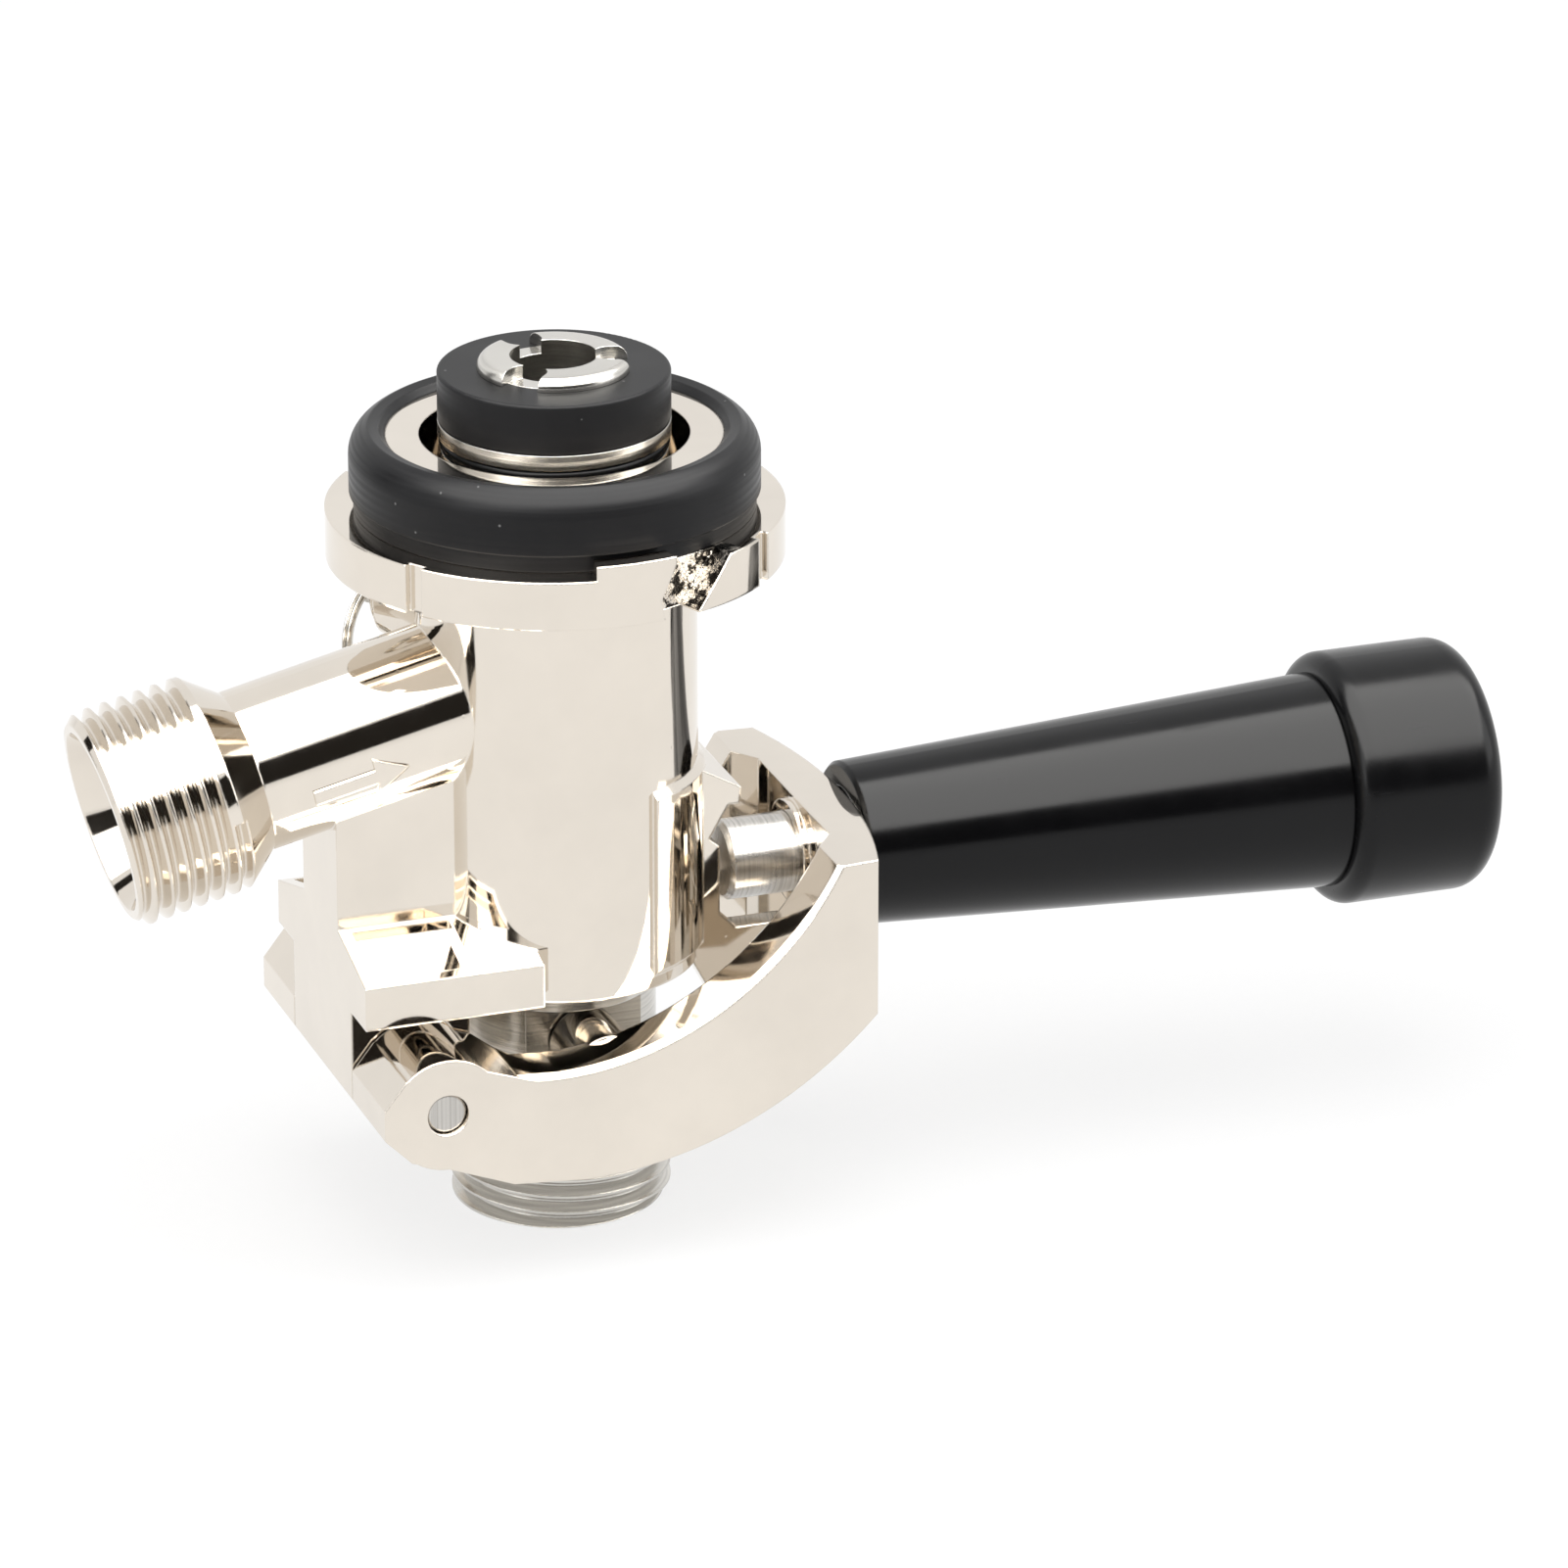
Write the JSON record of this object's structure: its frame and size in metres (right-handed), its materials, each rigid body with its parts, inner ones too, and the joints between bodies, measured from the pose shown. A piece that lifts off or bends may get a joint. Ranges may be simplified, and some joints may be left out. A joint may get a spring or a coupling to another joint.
{
  "type": "keg coupler",
  "caption": "Lever-operated beer keg coupler with bayonet flange, sliding probe, angled gas inlet, relief valve with pull ring and a black pull grip.",
  "frame": {"origin": "centre of the beer outlet's end face", "axes": "+Z along the main axis to the keg side, +X along the grip, hinge and gas inlet on -X"},
  "size_m": [0.1524, 0.047, 0.092],
  "materials": {
    "nickel_cast": "bright nickel plate over a polished die casting",
    "nickel_turned": "bright nickel plate over a turned face",
    "probe_steel": "fine turned stainless steel",
    "pin_steel": "ground stainless steel",
    "tube_steel": "turned stainless steel",
    "spring_steel": "drawn stainless wire",
    "seal_rubber": "moulded black rubber",
    "o_ring_rubber": "smooth black rubber",
    "valve_rubber": "soft black rubber",
    "ball_plastic": "natural white plastic",
    "grip_plastic": "gloss black plastic",
    "cap_plastic": "gloss black plastic"
  },
  "bodies": {
    "body": {"body_casting": "nickel_cast", "body_seal": "seal_rubber", "gas_check_valve": "valve_rubber", "gas_valve_ring": "nickel_turned", "hinge_pin": "pin_steel", "relief_cap": "nickel_turned", "relief_spring": "spring_steel"},
    "relief": {"relief_stem": "tube_steel", "relief_seal": "o_ring_rubber"},
    "ring": {"pull_ring": "spring_steel"},
    "probe": {"probe": "probe_steel", "probe_seal": "seal_rubber", "upper_o_ring": "o_ring_rubber", "piston_o_ring": "o_ring_rubber", "ball_retainer": "probe_steel"},
    "ball": {"check_ball": "ball_plastic"},
    "lever": {"yoke": "nickel_cast", "guide_tube": "tube_steel", "lock_spring": "spring_steel"},
    "handle": {"lock_pin": "pin_steel", "grip": "grip_plastic", "end_cap": "cap_plastic", "grip_nut": "tube_steel", "grip_washer": "tube_steel"}
  },
  "joints": [
    {"name": "lever_swing", "type": "hinge", "parent": "body", "child": "lever", "pos_m": [-0.019, 0, 0.0195], "axis": [0, 1, 0], "range_deg": [0, 35]},
    {"name": "probe_slide", "type": "slide", "parent": "body", "child": "probe", "axis": [0, 0, 1], "range_m": [-0.0111, 0]},
    {"name": "ball_lift", "type": "slide", "parent": "probe", "child": "ball", "axis": [0, 0, 1], "range_m": [0, 0.003]},
    {"name": "handle_pull", "type": "slide", "parent": "lever", "child": "handle", "axis": [1, 0, 0], "range_m": [0, 0.006], "stiffness_N_per_m": 1200, "springref_m": -0.006, "deforming": ["lock_spring"]},
    {"name": "relief_lift", "type": "slide", "parent": "body", "child": "relief", "axis": [-0.6691, 0.7431, 0], "range_m": [0, 0.0012], "stiffness_N_per_m": 2500, "springref_m": -0.002, "deforming": ["relief_spring"]},
    {"name": "ring_swing", "type": "hinge", "parent": "relief", "child": "ring", "pos_m": [-0.01472, 0.01635, 0.0629], "axis": [0.7431, 0.6691, 0], "range_deg": [-12, 110]}
  ],
  "couplings": [
    {"joint": "probe_slide", "follows": "lever_swing", "m_per_rad": -0.01784}
  ]
}
